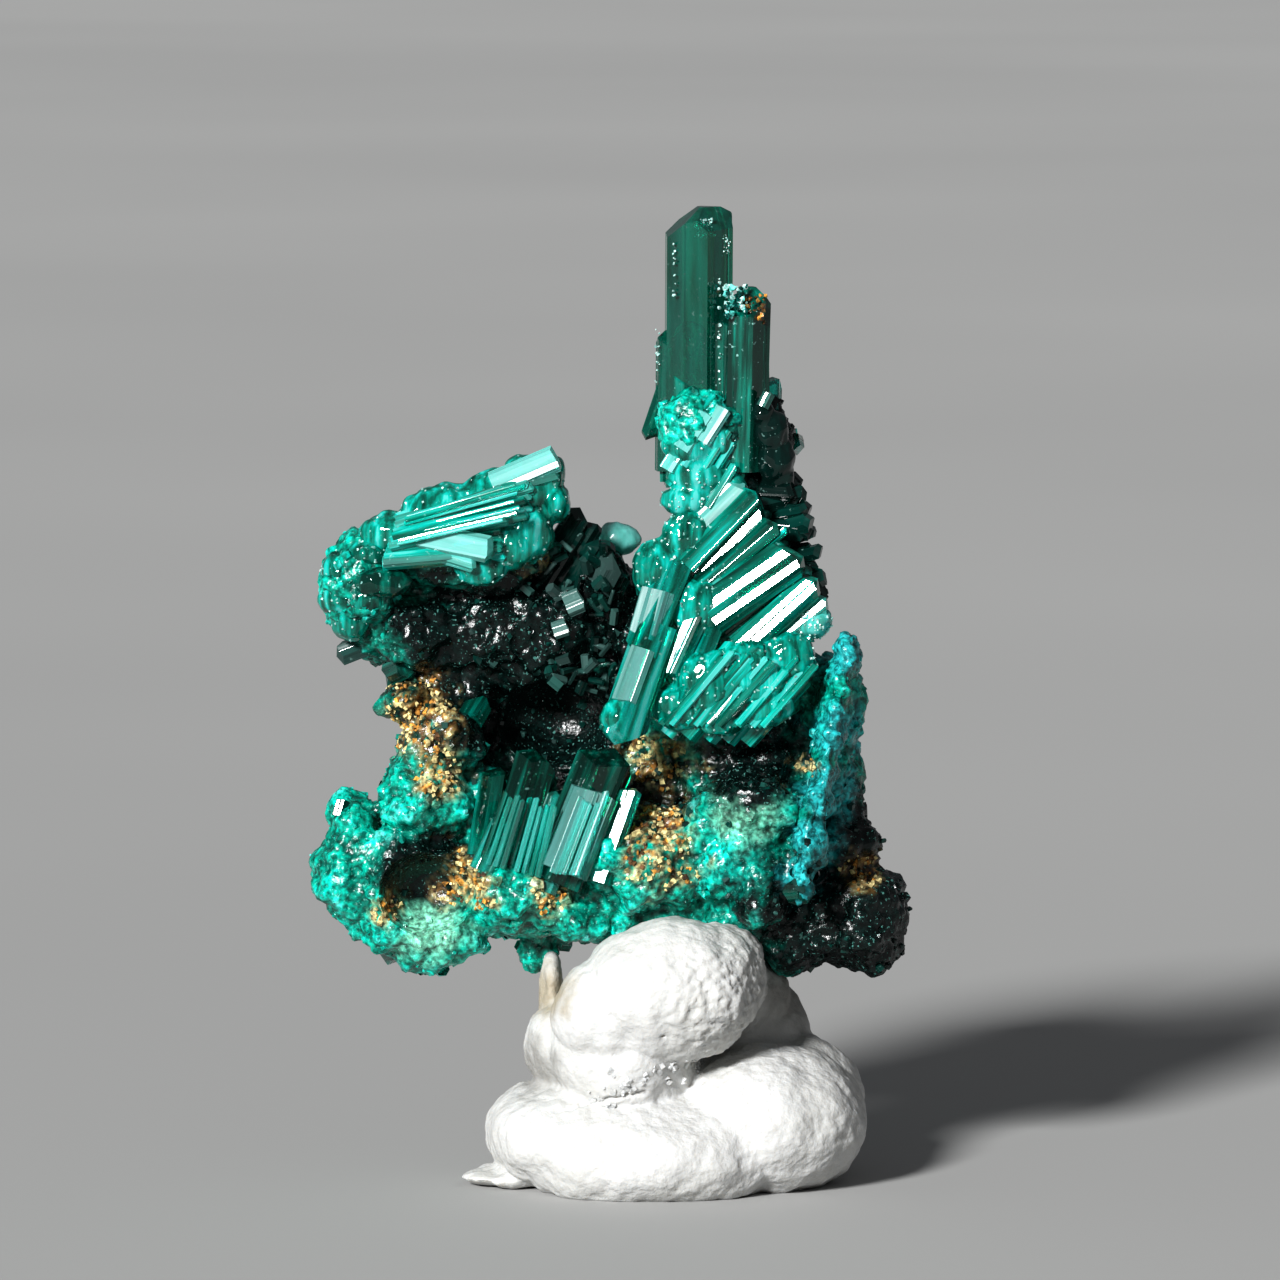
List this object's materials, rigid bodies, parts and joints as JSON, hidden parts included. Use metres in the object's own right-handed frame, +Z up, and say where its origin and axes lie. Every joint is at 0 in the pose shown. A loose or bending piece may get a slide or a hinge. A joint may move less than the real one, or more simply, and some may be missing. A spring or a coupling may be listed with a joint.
{
  "type": "dioptase crystal specimen",
  "caption": "Emerald-green dioptase crystals on drusy matrix, held upright for display in a kneaded lump of white mounting putty.",
  "frame": {"origin": "on the rest surface, under the middle of the whole object's box", "axes": "+Z up along the tall crystal, +X to the right of the front view, +Y away from the front view, through the thin way of the specimen"},
  "size_m": [0.0248, 0.0142, 0.0391],
  "materials": {
    "dioptase": "glassy emerald crystals over a drusy crust with ochre patches",
    "putty": "matte, kneaded, with soft creases"
  },
  "bodies": {
    "root": {"dioptase_cluster": "dioptase", "mounting_putty": "putty"}
  },
  "joints": []
}
